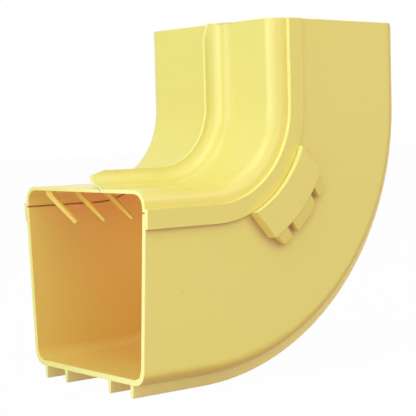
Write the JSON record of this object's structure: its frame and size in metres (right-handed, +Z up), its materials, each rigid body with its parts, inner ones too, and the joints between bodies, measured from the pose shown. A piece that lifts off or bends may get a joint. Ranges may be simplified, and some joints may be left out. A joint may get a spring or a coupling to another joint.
{
  "type": "fibre raceway elbow",
  "caption": "Vertical right-angle elbow of a cable raceway: a U-shaped trough with ribs under its floor and a split clip-on cover with a flared lip along the middle.",
  "frame": {"origin": "middle of the floor's end face at the lower mouth", "axes": "+X into the part along the lower leg, +Z up along the upper leg, +Y towards the side of the fingered cover"},
  "size_m": [0.2093, 0.132, 0.2093],
  "materials": {
    "yellow_plastic": "satin moulded plastic"
  },
  "bodies": {
    "root": {"trough": "yellow_plastic", "lipped_cover": "yellow_plastic", "fingered_cover": "yellow_plastic"}
  },
  "joints": []
}
